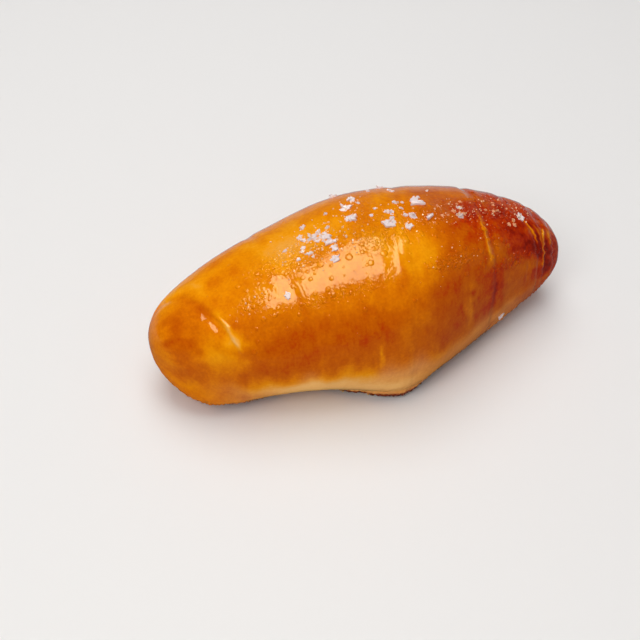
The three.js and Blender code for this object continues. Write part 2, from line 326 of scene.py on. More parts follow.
@dataclass(frozen=True)
class Relief:
    """Everything that stands up from or sinks into the smooth form, from the wraps down to fine wrinkles."""

    edges: tuple[WrapEdge, ...] = each(
        WrapEdge,
        (-56.5, 15.5, 0.68, 1.6, 6.0, -1, 0.05, 172),
        (-27.2, 8.0, 0.3, 1.3, 5.0, -1, 0.0, 190),
        (11.6, -2.0, 0.25, 1.6, 6.0, 1, 0.04),
        (38.4, 1.8, 0.45, 1.0, 6.0, 1, 0.03),
        (53.0, 6.0, 0.35, 0.9, 4.0, 1, 0.12),
        (59.2, 2.4, 0.3, 0.8, 3.0, 1, 0.12),
        (63.9, 2.0, 0.25, 0.7, 2.0, 1, 0.1),
    )
    hairs: tuple[Hair, ...] = each(
        Hair,
        (-26.6, 7.6, 0.08, 0.22, 86, 136), (-25.8, 7.8, 0.08, 0.22, 88, 132),
        (-56.9, 15.6, -0.55, 0.5, 114, 160), (-31, 0, -0.50, 9.0, 84, 142),
        (-0.6, 0, 0.06, 0.35, 92, 124), (6.9, -0.4, 0.10, 0.5, 92, 126),
        (10.7, -0.3, -0.20, 1.3, 98, 122), (15.7, 0, -0.16, 1.2, 98, 124), (20.4, 0, -0.22, 0.6, 98, 124),
        (37, 1.9, -0.30, 0.5, 88, 138), (38.4, 1.9, -0.05, 0.6, 146, 186), (49.7, 5, 0.12, 0.35, 75, 190),
        (53.8, 6.6, -0.30, 0.42, 86, 138), (55, 5.4, -0.18, 0.4, 100, 152), (61.2, 0.6, -0.28, 0.9, 100, 130),
        (60.9, 0.4, -0.26, 0.4, 100, 176), (63.2, 0.8, -0.20, 0.6, 116, 142), (66, 1.6, 0.12, 0.3, 60, 190),
        (30.2, -1.6, -0.12, 0.7, 152, 192),
    )
    # Slow unevenness: height, waves along the half length, waves around, and phase
    lumps: tuple[tuple[float, float, int, float], ...] = (
        (0.45, 3.1, 2, 0.7), (0.35, 5.3, 3, 2.1), (0.25, 8.7, 4, 4.4),
    )
    dents: Ripples = Ripples(0.05, 16.0, 22.0, seed=7)  # Shallow random unevenness
    wrinkles: Ripples = Ripples(0.03, 3.2, 26.0, seed=11)  # Fine wrinkles that run round the roll
    wrinkled: tuple[Swell, ...] = each(Swell, (8.0, 11.0, 1.0), (57.0, 12.0, 1.2), (-58.0, 7.0, 0.8))  # Where
    rim: Ripples = Ripples(0.22, 2.2, 2.6, seed=5)  # Raggedness of the base's edge
    rim_bands: tuple[Rise, ...] = (Rise(-0.45, -0.8), Rise(-0.97, -0.9))  # Sines between which it shows
    wobble: Ripples = Ripples(0.22, 9.0, 8.0, seed=3)  # How unevenly the wraps' edges run
    over_sole: Rise = Rise(-0.9, -0.2)  # Sines over which the rest runs out towards the sole
    mean_radius: float = 30.0  # Radius that turns an angle into an arc for the random patterns

    def height(self, x: Array, angle: Array, half_length: float) -> Array:
        """Height of the relief: the wraps' edges, lumps, dents and wrinkles, run out towards the sole.

        Args:
            x: Places along the roll.
            angle: Angles round it.
            half_length: Half of the roll's length.

        Returns:
            The relief's height.
        """
        arc, sine = self.mean_radius * angle, np.sin(angle)
        wobble = self.wobble.value(x, arc)
        total = self.dents.value(x, arc)
        total = total + self.wrinkles.value(x, arc) * sum(part.value(x) for part in self.wrinkled)
        for edge in self.edges:
            total = total + edge.height(edge.past(x, angle) + wobble) * edge.shown(angle)
        for hair in self.hairs:
            total = total - hair.depth_at(x + wobble, angle)
        for height, along, around, phase in self.lumps:
            total = total + height * np.sin(along * x / half_length + phase) * np.cos(around * angle + phase)
        ragged = self.rim.value(x, arc) * math.prod(band.value(sine) for band in self.rim_bands)
        return total * self.over_sole.value(sine) + ragged


@dataclass(frozen=True)
class Crust:
    """The baked crust: the form with its relief, from which every piece takes its place."""

    form: RollForm = RollForm()  # The roll's form
    relief: Relief = Relief()  # What stands on it
    span: float = 0.6  # Distance over which its slopes are taken
    coarse: int = 200  # Places along and round it that its box is found with

    @cached_property
    def middle(self) -> Array:
        """The middle of the roll's box in plan, from a coarse grid of points, which goes over the origin.

        Returns:
            The point.
        """
        x = -0.5 * self.form.length * np.cos(np.linspace(0.0, math.pi, self.coarse))[:, None]
        angle = np.linspace(-0.5 * math.pi, 1.5 * math.pi, self.coarse)[None, :]
        points = self.form.points(x, angle, self.relief.height(x, angle, self.form.length / 2.0))
        low, high = points.min(axis=(0, 1)), points.max(axis=(0, 1))
        return (low + high) / 2.0 * np.array([1.0, 1.0, 0.0])

    def points(self, x: Array, angle: Array) -> Array:
        """Points of the crust at places along and round it."""
        raised = self.relief.height(x, angle, self.form.length / 2.0)
        return self.form.points(x, angle, raised) - self.middle

    def frames(self, x: Array, degrees: Array) -> tuple[Array, Array]:
        """Where a thing lies on the crust, and how it is turned.

        The slopes are differences of the smooth form over a short span, and their cross product points out.

        Args:
            x: Places along the roll.
            degrees: Angles round it.

        Returns:
            The points, and matrices whose columns are the ways along, sideways and outwards.
        """
        angle = np.radians(degrees)
        turn = self.span / self.relief.mean_radius
        along = self.form.points(x + self.span, angle, 0.0) - self.form.points(x - self.span, angle, 0.0)
        along /= np.linalg.norm(along, axis=-1, keepdims=True)
        around = self.form.points(x, angle + turn, 0.0) - self.form.points(x, angle - turn, 0.0)
        outward = np.cross(around, along)
        outward /= np.linalg.norm(outward, axis=-1, keepdims=True)
        return self.points(x, angle), np.stack([along, np.cross(outward, along), outward], axis=-1)


# ---- Browning, with some painted light and shade ----


@dataclass(frozen=True)
class Patch:
    """A soft patch of the crust that has more of something, or less, than its surroundings."""

    x: float  # Place along the roll
    angle: float  # Place round it in degrees
    along: float  # Reach along X
    around: float  # Reach round the roll, in degrees
    amount: float  # What it adds
    slant: float = 0.0  # How far it leans along X for each degree round
    firm: float = 2.0  # How firm its outline is: 2 fades softly, 6 has clear edges

    def value(self, x: Array, degrees: Array) -> Array:
        """What it adds: its amount times e to the minus of both distances in reaches to the firmness.

        Args:
            x: Places along the roll.
            degrees: Angles round it.

        Returns:
            What it adds there.
        """
        turned = degrees - self.angle
        off_x = np.abs(x - self.slant * turned - self.x) / self.along
        return self.amount * np.exp(-(off_x**self.firm) - (np.abs(turned) / self.around) ** self.firm)


@dataclass(frozen=True)
class BrowningAndPaintedLight:
    """How deeply the crust is browned: 0 is pale crumb, 0.4 amber, 0.7 red-brown and 1 mahogany. A few
    patches and lines in it are painted sheen and highlight, and the foot's darkening is partly painted shade.
    """

    crown: float = 0.42  # Browning along the crown's middle
    taper: Rise = Rise(4.0, 60.0, 0.44)  # What the tapering end adds, along X
    wall: Rise = Rise(22.0, 68.0, 0.21)  # What the walls add, by degrees off the crown
    wall_loss: Rise = Rise(15.0, 45.0, 0.8)  # How much less they do towards the tapering end
    foot: float = 0.47  # Browning of the paler band round the foot
    foot_band: Rise = Rise(88.0, 100.0)  # Degrees off the crown over which it begins
    foot_stray: float = 0.9  # How many degrees its upper edge strays
    foot_taper: Rise = Rise(46.0, 60.0, 0.25)  # How much browner it is at the tapering end
    palest: Swell = Swell(-19.0, 16.0, -0.50)  # Where along the roll it is palest, and by how much
    tips: Rise = Rise(63.5, 68.0)  # Distance from the middle over which the tips begin
    tip: Ends = Ends(0.46, 0.86)  # Browning of the two tips, where the patches and streaks run together
    crease: Swell = Swell(0.9, 0.8, 0.09)  # What a crease under a wrap's edge adds, in the edge's widths
    lip: Swell = Swell(-0.5, 0.7, -0.06)  # The same for the edge's lip
    patches: tuple[Patch, ...] = each(
        Patch,
        (-27, 86, 12, 22, -0.14), (-50, 86, 9, 22, -0.07), (-61, 124, 5.5, 26, 0.25, 0.02),
        (-53, 148, 4, 18, -0.14, 0.2), (-53, 109, 4, 13, 0.13), (-36, 108, 4, 12, 0.07),
        (-43, 130, 3, 10, 0.07), (-45, 146, 2.5, 6, -0.18), (-66, 160, 5, 32, -0.20),
        (-48, 162, 6.5, 22, -0.20), (-26, 160, 10, 15, 0.06), (-6, 162, 15, 14, 0.06),
        (4, 140, 5, 10, -0.08), (1, 158, 3, 9, 0.07), (-4, 155, 3, 7, -0.05),
        (0, 80, 5, 22, 0.05), (14, 124, 4.5, 26, -0.14), (11, 165, 4, 16, -0.10),
        (9, 126, 2.5, 10, 0.08), (22, 124, 4, 14, 0.05), (34, 162, 4, 16, -0.08),
        (30, 168, 2.4, 20, -0.16, -0.04, 4.0), (33, 66, 7, 12, -0.12), (40.5, 174, 2.2, 16, 0.10),
        (36, 95, 4, 22, 0.14), (41.5, 132, 4, 14, -0.16), (45, 96, 6, 20, 0.08),
        (50, 108, 3, 16, 0.08), (60.5, 108, 3, 14, -0.08), (29, 95, 9, 26, 0.12),
        (-45, 92, 12, 24, 0.06), (-18, 90, 14, 10, -0.10), (7, 112, 5, 12, -0.12),
        (45.5, 165, 2.5, 16, 0.06), (52, 172, 7.5, 23, -0.22, 0.0, 5.0), (56, 131, 2.4, 12, 0.12),
        (60, 140, 2.5, 12, 0.08), (55, 112, 2.2, 8, -0.10), (65.5, 160, 2.5, 20, -0.10),
        # (57, 70) and (-62, 70) are paler for a painted sheen: a pale reflection high on the back of both
        # ends.
        (5, 210, 15, 14, -0.26), (57, 70, 7, 13, -0.08), (-62, 70, 6, 18, -0.12),
        (65, 95, 3, 22, -0.10), (62, 172, 3, 30, 0.12), (-27, 190, 9, 7, -0.16),
        (-4, 203, 7, 7, -0.22), (5, 205, 5, 5, -0.22), (-45, 184, 4, 6, 0.06),
    )
    # Narrow lines that run as the wraps do: their depth here is what they take away
    lines: tuple[Hair, ...] = each(
        Hair,
        # The second line here, a pale line along the blunt end's wrap edge, is a painted highlight along that
        # edge's ridge.
        (-53.3, 9.7, -0.09, 2, 72, 158), (-56.9, 15.6, -0.28, 0.6, 124, 158), (-44.6, 0.8, -0.1, 1, 158, 180),
        (32.4, -2.2, -0.12, 0.6, 144, 186), (-9.8, 0, -0.10, 0.7, 158, 174), (-0.3, 0, -0.34, 0.7, 166, 188),
        (37.6, 1.6, -0.16, 1.1, 82, 150), (37.2, 1.9, -0.26, 0.4, 88, 142), (52.6, 0.5, 0.06, 1.3, 94, 132),
        (53.8, 6.6, -0.44, 0.42, 86, 140), (54.9, 6.6, 0.14, 0.5, 88, 138), (56.9, 5.0, -0.26, 0.4, 96, 150),
        (57.8, 1.2, 0.12, 1, 98, 158), (61.2, 0.6, -0.20, 1, 100, 132), (60.9, 0.4, -0.42, 0.42, 100, 178),
        (61.9, 0.4, 0.14, 0.5, 96, 170), (63.4, 0.8, -0.34, 0.6, 100, 142), (63.9, 0.0, 0.08, 0.9, 142, 180),
    )
    cloud: Ripples = Ripples(0.022, 9.0, 11.0, seed=13)  # Soft random unevenness
    drift: Ripples = Ripples(1.3, 10.0, 12.0, seed=19)  # How far the patches' outlines stray
    dry_and_sheen_along: tuple[Rise, ...] = (Rise(-58.0, -28.0), Rise(66.0, 56.0))  # Between which the foot is dry and carries a painted sheen
    dry_and_sheen_less: Rise = Rise(8.0, 22.0, 0.45)  # How much less it is past the middle
    dry_and_sheen_band: Rise = Rise(91.0, 104.0, 0.8)  # Degrees off the crown over which it dries and takes the painted sheen, and how far
    # Waves of that band's upper edge: height in degrees, angle for each millimetre, and phase
    dry_and_sheen_waves: tuple[Triple, ...] = ((3.0, 0.21, 0.0), (2.0, 0.53, 1.0))
    scorch_and_shade: Rise = Rise(4.0, 2.0, 1.1)  # What is added by height over the table: partly the baking sheet's scorch, partly painted shade of the gap under the lip

    def level(self, x: Array, degrees: Array, relief: Relief) -> Array:
        """The browning at places on the crust, with the painted sheen of a few paler patches and the painted
        highlight of one pale line.

        The crown's level plus the tapering end's and the walls' share, and under the widest line the foot's
        paler band instead, with the patches and lines added. Each wrap's edge is lighter on its lip and
        darker in its crease, and the tips have their own level.

        Args:
            x: Places along the roll.
            degrees: Angles round it.
            relief: The relief, whose wraps' edges are tinted.

        Returns:
            The browning, from 0 to 1.
        """
        angle = np.radians(degrees)
        arc = relief.mean_radius * angle
        wobble = relief.wobble.value(x, arc)
        strayed = x + self.drift.value(x, arc)
        off_crown = np.abs(degrees - 90.0)
        total = self.crown + self.taper.value(strayed)
        total = total + self.wall.value(off_crown) * (1.0 - self.wall_loss.value(strayed))
        stray = self.foot_stray / self.cloud.height * self.cloud.value(arc, x)
        foot = self.foot_band.value(off_crown + stray)
        pale = self.foot + self.palest.value(x) + self.foot_taper.value(x)
        total = total * (1.0 - foot) + pale * foot + self.cloud.value(x, arc)
        for patch in self.patches:
            total = total + patch.value(strayed, degrees) * (1.0 - foot * (patch.angle < 180.0))
        tip = self.tips.value(np.abs(x))
        total = total * (1.0 - tip) + self.tip.at(x) * tip
        for line in self.lines:
            total = total + line.depth_at(x + wobble, angle)
        for edge in relief.edges:
            own = (edge.past(x, angle) + wobble) / edge.width
            total = total + edge.step * (self.crease.value(own) + self.lip.value(own))
        return np.clip(total, 0.0, 1.0)

    def dryness_and_sheen(self, x: Array, degrees: Array) -> Array:
        """The foot's dry colour: the butter runs out under the widest line, between the blunt end and the
        tip, and the paler, greyer colour there is partly a painted sheen of the pale table.

        Args:
            x: Places along the roll.
            degrees: Angles round it.

        Returns:
            Its share, from 0 to its most.
        """
        waves = sum(height * np.sin(turn * x + phase) for height, turn, phase in self.dry_and_sheen_waves)
        along = math.prod(part.value(x) for part in self.dry_and_sheen_along) * (1.0 - self.dry_and_sheen_less.value(x))
        return along * self.dry_and_sheen_band.value(np.abs(degrees - 90.0) + waves)


@dataclass(frozen=True)
class Roughening:
    """Where melted salt has left the butter's film rough: 0 is smooth, 1 is all fine bubbles and pits."""

    patches: tuple[Patch, ...] = each(
        Patch,
        (-17, 97, 14, 9, 1.0), (6, 98, 7, 9, 0.7), (45, 84, 9, 11, 1.0), (28, 88, 8, 10, 0.6),
        (-37.5, 121, 3.5, 5, 0.5), (25, 131, 7, 5, 0.9), (-12, 131, 12, 4, 0.6),
        (48, 148, 9, 3.5, 0.9), (0, 80, 6, 14, 0.5), (1, 105, 4.5, 7, 0.8),
    )

    def level(self, x: Array, degrees: Array) -> Array:
        """The roughness at places on the crust: the sum of the patches, held from 0 to 1."""
        return np.clip(sum(patch.value(x, degrees) for patch in self.patches), 0.0, 1.0)


# ---- Meshes ----


class Slot(Enum):
    """The record's material slots."""

    CRUST = "crust"
    SALT = "salt"
    SOLE = "sole"


@dataclass(frozen=True)
class Dressing:
    """How a piece is named and finished."""

    name: str  # The piece's name
    slot: Slot  # The record's slot, which is only named in the log
    finishes: tuple[Material, ...]  # Its materials
    smooth: bool = True  # Whether its faces are smooth-shaded


def add_object(name: str, data: bpy.types.ID) -> Object:
    """Adds an object of some data to the scene, at the origin.

    Args:
        name: Its name.
        data: Its mesh, light or camera.

    Returns:
        The object.
    """
    new = bpy.data.objects.new(name, data)
    bpy.context.scene.collection.objects.link(new)
    return new


def shell_faces(rings: int, around: int) -> tuple[Array, Array]:
    """Faces of a closed shell of rings between two poles.

    Vertex 0 is the first pole, the rings follow, and the last vertex is the other pole. A quad joins each
    pair of neighbours on two rings, and triangles close both poles. With the rings counted towards the second
    pole and the places round them turning right-handed about that way, every face points outwards.

    Args:
        rings: Number of rings.
        around: Number of places round each.

    Returns:
        Vertex numbers of the quads and of the triangles.
    """
    ring, place = np.meshgrid(np.arange(rings - 1), np.arange(around), indexing="ij")
    following = (place + 1) % around
    here, there = 1 + ring * around, 1 + (ring + 1) * around
    quads = np.stack([here + place, here + following, there + following, there + place], axis=-1)
    start = np.arange(around)
    after = (start + 1) % around
    last = 1 + (rings - 1) * around
    first_cap = np.stack([np.zeros_like(start), 1 + after, 1 + start], axis=-1)
    last_cap = np.stack([last + start, last + after, np.full_like(start, last + around)], axis=-1)
    return quads.reshape(-1, 4), np.concatenate([first_cap, last_cap])


def make_piece(
    dressing: Dressing, points: Array, faces: tuple[Array, Array], second: Array | bool = False
) -> Object:
    """Makes one piece of the roll that rides on its body.

    Args:
        dressing: How it is named and finished.
        points: Its vertices, in millimetres.
        faces: Vertex numbers of its quads and of its triangles.
        second: Which of its faces take its second material.

    Returns:
        The new object.
    """
    name, slot = dressing.name, dressing.slot
    mesh = bpy.data.meshes.new(name)
    mesh.from_pydata(points * MM, [], [*faces[0].tolist(), *faces[1].tolist()])
    for finish in dressing.finishes:
        mesh.materials.append(finish)
    mesh.polygons.foreach_set("use_smooth", np.full(len(mesh.polygons), dressing.smooth))
    index = np.broadcast_to(second, len(mesh.polygons)).astype(np.int32)
    mesh.polygons.foreach_set("material_index", index)
    mesh.update()
    piece = add_object(name, mesh)
    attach(piece, BODY)
    triangles = 2 * len(faces[0]) + len(faces[1])
    LOG.info("%s: %d triangles, %s finish", name, triangles, slot.value)
    return piece


def make_shells(
    dressing: Dressing, local: Array, frames: tuple[Array, Array], corners: int, second: Array | bool = False
) -> Object:
    """Makes a piece of many shells, each carried onto the crust: its points times its matrix, plus its place.

    Args:
        dressing: How it is named and finished.
        local: Points of each shell in its own axes, shells by points by three.
        frames: Where each shell goes, and its matrix.
        corners: Places round each ring of a shell.
        second: Which of the shells take the second material.

    Returns:
        The piece.
    """
    shells, stride = local.shape[:2]
    points = (np.einsum("sij,spj->spi", frames[1], local) + frames[0][:, None]).reshape(-1, 3)
    one = shell_faces((stride - 2) // corners, corners)
    shift = stride * np.arange(shells)[:, None, None]
    faces = tuple((part[None] + shift).reshape(-1, part.shape[-1]) for part in one)
    marked = np.concatenate([np.repeat(np.broadcast_to(second, shells), len(part)) for part in one])
    return make_piece(dressing, points, faces, marked)


def stack_rings(outline: Array, height: Array, rings: Rings) -> Array:
    """Points of shells made of one outline at several levels, between a pole under it and one over it.

    A ring's points are the outline times the ring's scale, at its rise times the shell's height. The poles
    stand over the outline's origin at the lowest and the highest level.

    Args:
        outline: Outline of each shell in its own plane, shells by corners by two.
        height: Height of each shell.
        rings: Rise and scale of each ring, from the lowest up.

    Returns:
        The points, shells by points by three.
    """
    rise, scales = np.array(rings).T
    levels = height[:, None] * rise
    flat = scales[:, None, None] * outline[:, None]
    upright = np.broadcast_to(levels[:, :, None, None], (*flat.shape[:3], 1))
    points = np.concatenate([flat, upright], axis=-1).reshape(len(outline), -1, 3)
    poles = np.zeros((len(outline), 2, 3))
    poles[:, :, 2] = levels[:, [0, -1]]
    return np.concatenate([poles[:, :1], points, poles[:, 1:]], axis=1)


def lean_and_turn(local: Array, leans: Array, spin: Array) -> Array:
    """Leans shells about their X and then their Y axis, and turns them about their Z axis, by angles.

    Args:
        local: Points of each shell, shells by points by three.
        leans: The two leans of each shell.
        spin: The turn of each shell.

    Returns:
        The points after the three turns.
    """
    for first, second, angle in ((1, 2, leans[:, 0]), (2, 0, leans[:, 1]), (0, 1, spin)):
        cosine, sine = np.cos(angle)[:, None], np.sin(angle)[:, None]
        a, b = local[..., first], local[..., second]
        local = local.copy()
        local[..., first], local[..., second] = a * cosine - b * sine, a * sine + b * cosine
    return local


def set_values(piece: Object, name: str, values: Array) -> None:
    """Writes a number or a vector for each vertex of a piece, as an attribute that its material reads.

    Args:
        piece: The piece.
        name: The attribute's name.
        values: One number a vertex, or one row of three.
    """
    kind, key = ("FLOAT", "value") if values.ndim == 1 else ("FLOAT_VECTOR", "vector")
    layer = piece.data.attributes.new(name, kind, "POINT")
    layer.data.foreach_set(key, values.astype(np.float32).ravel())


# ---- Finishes ----


# Between what values the streaks', the mottling's and the finest noise mostly lies
STREAK_NOISE = (0.25, 0.75)
MOTTLE_NOISE = (0.2, 0.8)
FINE_NOISE = (0.3, 0.7)


class NodeSheet:
    """The node tree of a new material or world, with short ways to add nodes and join them."""

    def __init__(self, owner: bpy.types.ID, output: str = "OutputMaterial") -> None:
        """Empties the owner's node tree but for an output node.

        Args:
            owner: The material or world.
            output: The output node's type without the leading ShaderNode.
        """
        owner.use_nodes = True
        self.owner, self.tree = owner, owner.node_tree
        self.tree.nodes.clear()
        self.output = self.add(output)

    def add(self, kind: str, *ordered: object, **named: object) -> bpy.types.Node:
        """Adds a node and fills its inputs.

        Args:
            kind: The node's type without the leading ShaderNode.
            ordered: Values or sockets for its first inputs.
            named: Values or sockets by input name, with _ for a blank.

        Returns:
            The node.
        """
        node = self.tree.nodes.new("ShaderNode" + kind)
        by_name = [(node.inputs[name.replace("_", " ")], value) for name, value in named.items()]
        for socket, value in [*zip(node.inputs, ordered), *by_name]:
            if isinstance(value, Socket):
                self.tree.links.new(value, socket)
            else:
                socket.default_value = value
        return node

    def attribute(self, name: str, output: str = "Fac") -> Socket:
        """Reads a named attribute of the piece.

        Args:
            name: The attribute's name.
            output: The output to read it from.

        Returns:
            The output's socket.
        """
        node = self.add("Attribute")
        node.attribute_name = name
        return node.outputs[output]

    @cached_property
    def solid(self) -> Socket:
        """The place in the piece, in metres."""
        return self.add("TexCoord").outputs["Object"]

    def noise(self, vector: Socket, scale: float, detail: float) -> Socket:
        """Smooth noise from 0 to 1 over a vector."""
        return self.add("TexNoise", Vector=vector, Scale=scale, Detail=detail).outputs["Fac"]

    def stretched_noise(self, vector: Socket, scale: Triple, detail: float) -> Socket:
        """Smooth noise over a vector whose axes are scaled first."""
        return self.noise(self.add("Mapping", Vector=vector, Scale=scale).outputs["Vector"], 1.0, detail)

    def grain(self, size: float, detail: float) -> Socket:
        """Smooth noise with spots of a size in millimetres."""
        return self.noise(self.solid, 1.0 / (size * MM), detail)

    def between(self, value: Socket, low: float, high: float, start: float, end: float) -> Socket:
        """Carries the span from low to high onto the span from start to end, and holds it there."""
        node = self.add("MapRange", Value=value, From_Min=low, From_Max=high, To_Min=start, To_Max=end)
        return node.outputs["Result"]

    def calculate(self, operation: str, first: object, second: object) -> Socket:
        """One step of arithmetic on two numbers or sockets.

        Args:
            operation: The step.
            first: Its first number or socket.
            second: Its second one.

        Returns:
            The result.
        """
        node = self.add("Math", first, second)
        node.operation = operation
        return node.outputs["Value"]

    def colours(self, value: Socket, stops: Stops) -> Socket:
        """The colour at a value on a ramp of (place, red, green, blue) stops.

        Args:
            value: The value.
            stops: The stops.

        Returns:
            The colour.
        """
        node = self.add("ValToRGB", Fac=value)
        elements = node.color_ramp.elements
        while len(elements) < len(stops):
            elements.new(1.0)
        for element, (place, *colour) in zip(elements, stops):
            element.position, element.color = place, (*colour, 1.0)
        return node.outputs["Color"]

    def bump(self, height: Socket, depth: float) -> Socket:
        """The normal of a surface raised by a height of up to so many millimetres."""
        return self.add("Bump", Height=height, Distance=depth * MM, Strength=1.0).outputs["Normal"]

    def finish(self, shader: bpy.types.Node) -> bpy.types.ID:
        """Joins the shader to the output and hands over the material or world."""
        self.tree.links.new(shader.outputs[0], self.output.inputs["Surface"])
        return self.owner


@dataclass(frozen=True)
class CrustFinish:
    """Baked crust, brushed with butter: browning, with some painted shade and sheen in it, streaks that
    follow the wraps, and a clear wet gloss.
    """

    # Colours from pale crumb to mahogany, by browning
    stops: Stops = (
        (0.0, 0.84, 0.44, 0.13),
        (0.15, 0.87, 0.37, 0.05),
        (0.30, 0.86, 0.31, 0.003),
        (0.40, 0.78, 0.235, 0.001),
        (0.50, 0.69, 0.17, 0.001),
        (0.60, 0.59, 0.12, 0.001),
        (0.70, 0.52, 0.083, 0.001),
        (0.80, 0.48, 0.039, 0.001),
        (0.90, 0.37, 0.017, 0.001),
        (1.0, 0.22, 0.007, 0.001),
    )
    # Colours of the dry foot, by browning: paler and greyer, partly its own colour, partly a painted sheen of
    # the pale table
    dry_and_sheen_stops: Stops = (
        (0.0, 1.0, 0.56, 0.18),
        (0.30, 0.84, 0.38, 0.11),
        (0.60, 0.60, 0.20, 0.07),
        (1.0, 0.22, 0.05, 0.015),
    )
    # Browning and what the streaks add there or take away, at two levels of it
    streaks: Four = (0.5, 0.85, 0.02, 0.08)
    streak_scale: Triple = (0.7, 0.2, 0.0)  # Streaks for each millimetre along and round the wraps
    mottle: float = 0.055  # How much the broader mottling does
    mottle_scale: Triple = (0.2, 0.16, 0.0)  # Its spots for each millimetre along and round
    speckle: float = 0.045  # How much the fine speckles do
    speckle_grain: float = 0.9  # Their size
    gloss_roughness: float = 0.04  # Roughness of the butter's film
    gloss_ior: float = 1.32  # Its refractive index
    crumb_roughness: float = 0.5  # Roughness of the crust under it
    film_bump: float = 0.10  # Height of the film's fine unevenness
    film_grain: float = 1.8  # Its wavelength
    pit_depth: float = 0.22  # Depth of the pits where melted salt has roughened the film
    pit_grain: float = 0.75  # Their size
    pit_sides: Pair = (0.52, 0.60)  # Noise between which their steep sides lie

    def make(self) -> Material:
        """Builds the material.

        The browning attribute, which also carries the painted shade low at the foot and a few painted sheens
        and highlights, plus streaks (noise that is narrow along the roll and long round it), mottling and
        fine speckles, goes through the ramp of colours, and where the foot is dry through a paler, greyer one
        that is partly a painted sheen. The coat carries the film's own fine bump, and pits with steep sides
        where the film is roughened.

        Returns:
            The material.
        """
        sheet = NodeSheet(bpy.data.materials.new("baked_crust"))
        place = sheet.attribute("wrap_place", "Vector")
        browning_and_painted_light = sheet.attribute("browning_and_painted_light")
        fine = sheet.between(sheet.stretched_noise(place, self.streak_scale, 3.0), *STREAK_NOISE, -1.0, 1.0)
        streaks = sheet.calculate("MULTIPLY", fine, sheet.between(browning_and_painted_light, *self.streaks))
        broad = sheet.stretched_noise(place, self.mottle_scale, 5.0)
        mottling = sheet.between(broad, *MOTTLE_NOISE, -self.mottle, self.mottle)
        speckles = sheet.grain(self.speckle_grain, 3.0)
        spots = sheet.between(speckles, *FINE_NOISE, -self.speckle, self.speckle)
        for unevenness in (streaks, mottling, spots):
            browning_and_painted_light = sheet.calculate("ADD", browning_and_painted_light, unevenness)
        glazed, bare_and_sheened = sheet.colours(browning_and_painted_light, self.stops), sheet.colours(browning_and_painted_light, self.dry_and_sheen_stops)
        colour = sheet.add("MixRGB", sheet.attribute("dry_and_sheen"), glazed, bare_and_sheened).outputs["Color"]
        pits = sheet.between(sheet.grain(self.pit_grain, 1.5), *self.pit_sides, 0.0, self.pit_depth)
        height = sheet.calculate("MULTIPLY", sheet.grain(self.film_grain, 1.0), self.film_bump)
        rough = sheet.attribute("roughened")
        film = sheet.bump(sheet.calculate("ADD", height, sheet.calculate("MULTIPLY", pits, rough)), 1.0)
        shader = sheet.add(
            "BsdfPrincipled",
            Base_Color=colour,
            Roughness=self.crumb_roughness,
            Normal=film,
            Specular_IOR_Level=0.0,
            Coat_Weight=1.0,
            Coat_Roughness=self.gloss_roughness,
            Coat_IOR=self.gloss_ior,
            Coat_Normal=film,
        )
        return sheet.finish(shader)


@dataclass(frozen=True)
class SoleFinish:
    """The dry, evenly browned sole and the crumbs at its edge."""

    name: str = "baked_sole"  # The material's name
    pale: Colour = (0.62, 0.36, 0.12)  # Colour of its paler spots
    brown: Colour = (0.28, 0.10, 0.02)  # Colour of its browned ones
    spot: float = 2.5  # Size of the spots
    spread: Pair = (0.35, 0.65)  # Noise at which they are brown, and at which they are pale
    depth: float = 0.3  # How deep they are
    roughness: float = 0.8  # Its roughness
    specular: float = 0.3  # Strength of its reflection

    def make(self) -> Material:
        """Builds the material: two browns in noise, rough and uneven.

        Returns:
            The material.
        """
        sheet = NodeSheet(bpy.data.materials.new(self.name))
        spots = sheet.grain(self.spot, 5.0)
        colour = sheet.colours(spots, ((self.spread[0], *self.brown), (self.spread[1], *self.pale)))
        bump = sheet.bump(spots, self.depth)
        look = {"Roughness": self.roughness, "Normal": bump, "Specular_IOR_Level": self.specular}
        return sheet.finish(sheet.add("BsdfPrincipled", Base_Color=colour, **look))


@dataclass(frozen=True)
class SaltFinish:
    """Sea salt: clear to milky crystal with crisp, slightly frosted faces."""

    name: str  # The material's name
    colour: Colour  # Its colour
    under: Colour  # Colour of the crust that shows through in spots
    clarity: float  # Share of the light that passes through
    roughness: float  # Roughness of its clearest faces
    frosting: float = 2.5  # How many times rougher its frosted ones are
    frost_grain: float = 0.45  # Size of the frosting's spots
    frost_depth: float = 0.02  # How deep they are
    spot_grain: float = 1.3  # Size of the spots where the crust shows through
    showing: Pair = (0.34, 0.44)  # Noise up to which it does, and from which it doesn't
    ior: float = 1.5  # Its refractive index

    def make(self) -> Material:
        """Builds the material: a pale crystal with frosting in noise.

        Returns:
            The material.
        """
        sheet = NodeSheet(bpy.data.materials.new(self.name))
        frost = sheet.grain(self.frost_grain, 3.0)
        rough = sheet.between(frost, *FINE_NOISE, self.roughness, self.frosting * self.roughness)
        bump = sheet.bump(frost, self.frost_depth)
        stops = (self.showing[0], *self.under), (self.showing[1], *self.colour)
        colour = sheet.colours(sheet.grain(self.spot_grain, 2.0), stops)
        look = {"Normal": bump, "IOR": self.ior, "Transmission_Weight": self.clarity}
        return sheet.finish(sheet.add("BsdfPrincipled", Base_Color=colour, Roughness=rough, **look))


# ---- Pieces ----


